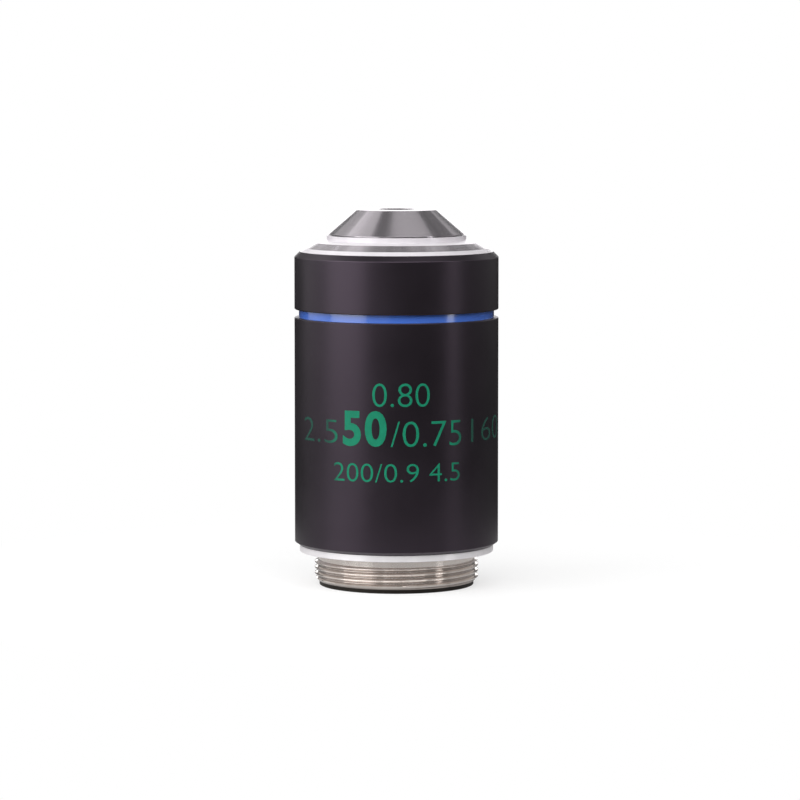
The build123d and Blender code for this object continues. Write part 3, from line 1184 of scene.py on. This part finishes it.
def floorMaterial():
    # A pale table top that keeps the object's shadow; further out it is plain white to the eye
    # but dim in reflections, as in a darkened studio
    material, tree = newMaterial("paleTable")
    position = addNode(tree, "ShaderNodeTexCoord")
    reach = addNode(
        tree, "ShaderNodeVectorMath", {"operation": "LENGTH"}, {0: position.outputs["Object"]}
    )
    outer = addNode(
        tree,
        "ShaderNodeMapRange",
        {},
        {0: reach.outputs["Value"], 1: floorSettings["brightTo"], 2: floorSettings["darkFrom"]},
    )
    path = addNode(tree, "ShaderNodeLightPath")
    seen = addNode(
        tree,
        "ShaderNodeMath",
        {"operation": "ADD", "use_clamp": True},
        {0: path.outputs["Is Camera Ray"], 1: path.outputs["Is Transmission Ray"]},
    )
    mirrored = addNode(
        tree,
        "ShaderNodeMath",
        {"operation": "MULTIPLY"},
        {0: path.outputs["Is Glossy Ray"], 1: floorSettings["mirrored"]},
    )
    seenOrMirrored = addNode(
        tree,
        "ShaderNodeMath",
        {"operation": "MAXIMUM"},
        {0: seen.outputs[0], 1: mirrored.outputs[0]},
    )
    innerGlow = addNode(
        tree,
        "ShaderNodeMath",
        {"operation": "MULTIPLY"},
        {0: seenOrMirrored.outputs[0], 1: floorSettings["glow"]},
    )
    outerGlow = addNode(
        tree,
        "ShaderNodeMapRange",
        {},
        {0: seen.outputs[0], 3: floorSettings["farMirrored"], 4: 1.0},
    )
    matte = addNode(tree, "ShaderNodeBsdfDiffuse", {}, {"Color": linear(floorSettings["albedo"])})
    glow = addNode(tree, "ShaderNodeEmission", {}, {"Strength": innerGlow.outputs[0]})
    near = addNode(tree, "ShaderNodeAddShader", {}, {0: matte.outputs[0], 1: glow.outputs[0]})
    far = addNode(tree, "ShaderNodeEmission", {}, {"Strength": outerGlow.outputs[0]})
    shader = addNode(
        tree,
        "ShaderNodeMixShader",
        {},
        {0: outer.outputs[0], 1: near.outputs[0], 2: far.outputs[0]},
    )
    finishMaterial(tree, shader)
    return material


half = floorSettings["size"] / 2
corners = np.array([(-half, -half), (half, -half), (half, half), (-half, half)])
corners = np.column_stack([corners, np.full(4, cadBox[0][2])])
floorMesh = bpy.data.meshes.new("floor")
floorMesh.from_pydata(corners.tolist(), [], [(0, 1, 2, 3)])
floorMesh.materials.append(floorMaterial())
floor = bpy.data.objects.new("floor", floorMesh)
bpy.context.scene.collection.objects.link(floor)

worldSettings = {"ambient": 0.3, "mirrored": 0.17}


def makeWorld():
    # White to the eye and through glass, even and dim in its light and in reflections
    world = bpy.data.worlds.new("studio")
    world.use_nodes = True
    tree = world.node_tree
    tree.nodes.clear()
    path = addNode(tree, "ShaderNodeLightPath")
    seen = addNode(
        tree,
        "ShaderNodeMath",
        {"operation": "ADD", "use_clamp": True},
        {0: path.outputs["Is Camera Ray"], 1: path.outputs["Is Transmission Ray"]},
    )
    dim = addNode(
        tree,
        "ShaderNodeMapRange",
        {},
        {
            0: path.outputs["Is Glossy Ray"],
            3: worldSettings["ambient"],
            4: worldSettings["mirrored"],
        },
    )
    strength = addNode(
        tree, "ShaderNodeMath", {"operation": "MAXIMUM"}, {0: seen.outputs[0], 1: dim.outputs[0]}
    )
    background = addNode(
        tree,
        "ShaderNodeBackground",
        {},
        {"Color": linear("#ffffff"), "Strength": strength.outputs[0]},
    )
    addNode(tree, "ShaderNodeOutputWorld", {}, {"Surface": background.outputs[0]})
    bpy.context.scene.world = world


makeWorld()

lamps = {
    "leftSoftbox": {
        "azimuth": -59,
        "elevation": 22,
        "width": 0.4,
        "height": 0.44,
        "radiance": 2.6,
    },
    "leftEdgeCard": {
        "azimuth": -21,
        "elevation": 22,
        "width": 0.2,
        "height": 0.44,
        "radiance": 0.35,
    },
    "leftSideCard": {
        "azimuth": -106,
        "elevation": 22,
        "width": 0.34,
        "height": 0.44,
        "radiance": 0.9,
    },
    "leftBackCard": {
        "azimuth": -152,
        "elevation": 42,
        "width": 0.22,
        "height": 0.24,
        "radiance": 0.3,
    },
    "rightStrip": {
        "azimuth": 66,
        "elevation": 20,
        "width": 0.07,
        "height": 0.42,
        "radiance": 3.0,
    },
    "rightSideCard": {
        "azimuth": 118,
        "elevation": 20,
        "width": 0.5,
        "height": 0.3,
        "radiance": 0.35,
    },
    "topCard": {
        "azimuth": 112,
        "elevation": 77,
        "width": 0.15,
        "height": 0.25,
        "radiance": 0.42,
    },
    "topLeftStrip": {
        "azimuth": -124,
        "elevation": 58,
        "width": 0.17,
        "height": 0.17,
        "radiance": 0.5,
    },
    "backCard": {
        "azimuth": 180,
        "elevation": 27,
        "width": 0.2,
        "height": 0.42,
        "radiance": 1.7,
    },
    "frontTopCard": {
        "azimuth": 12,
        "elevation": 42,
        "width": 0.44,
        "height": 0.26,
        "radiance": 2.9,
    },
}
lampDistance = 0.42
lampTarget = 0.02

for name, lamp in lamps.items():
    azimuth = math.radians(lamp["azimuth"])
    elevation = math.radians(lamp["elevation"])
    level = lampDistance * math.cos(elevation)
    data = bpy.data.lights.new(name, "AREA")
    data.shape = "RECTANGLE"
    data.size = lamp["width"]
    data.size_y = lamp["height"]
    data.energy = lamp["radiance"] * math.pi * lamp["width"] * lamp["height"]
    light = bpy.data.objects.new(name, data)
    light.location = (
        level * math.sin(azimuth),
        -level * math.cos(azimuth),
        lampTarget + lampDistance * math.sin(elevation),
    )
    light.rotation_euler = (math.radians(90) - elevation, 0, azimuth)
    light.visible_camera = False
    bpy.context.scene.collection.objects.link(light)
print("camera, floor and lamps ready")
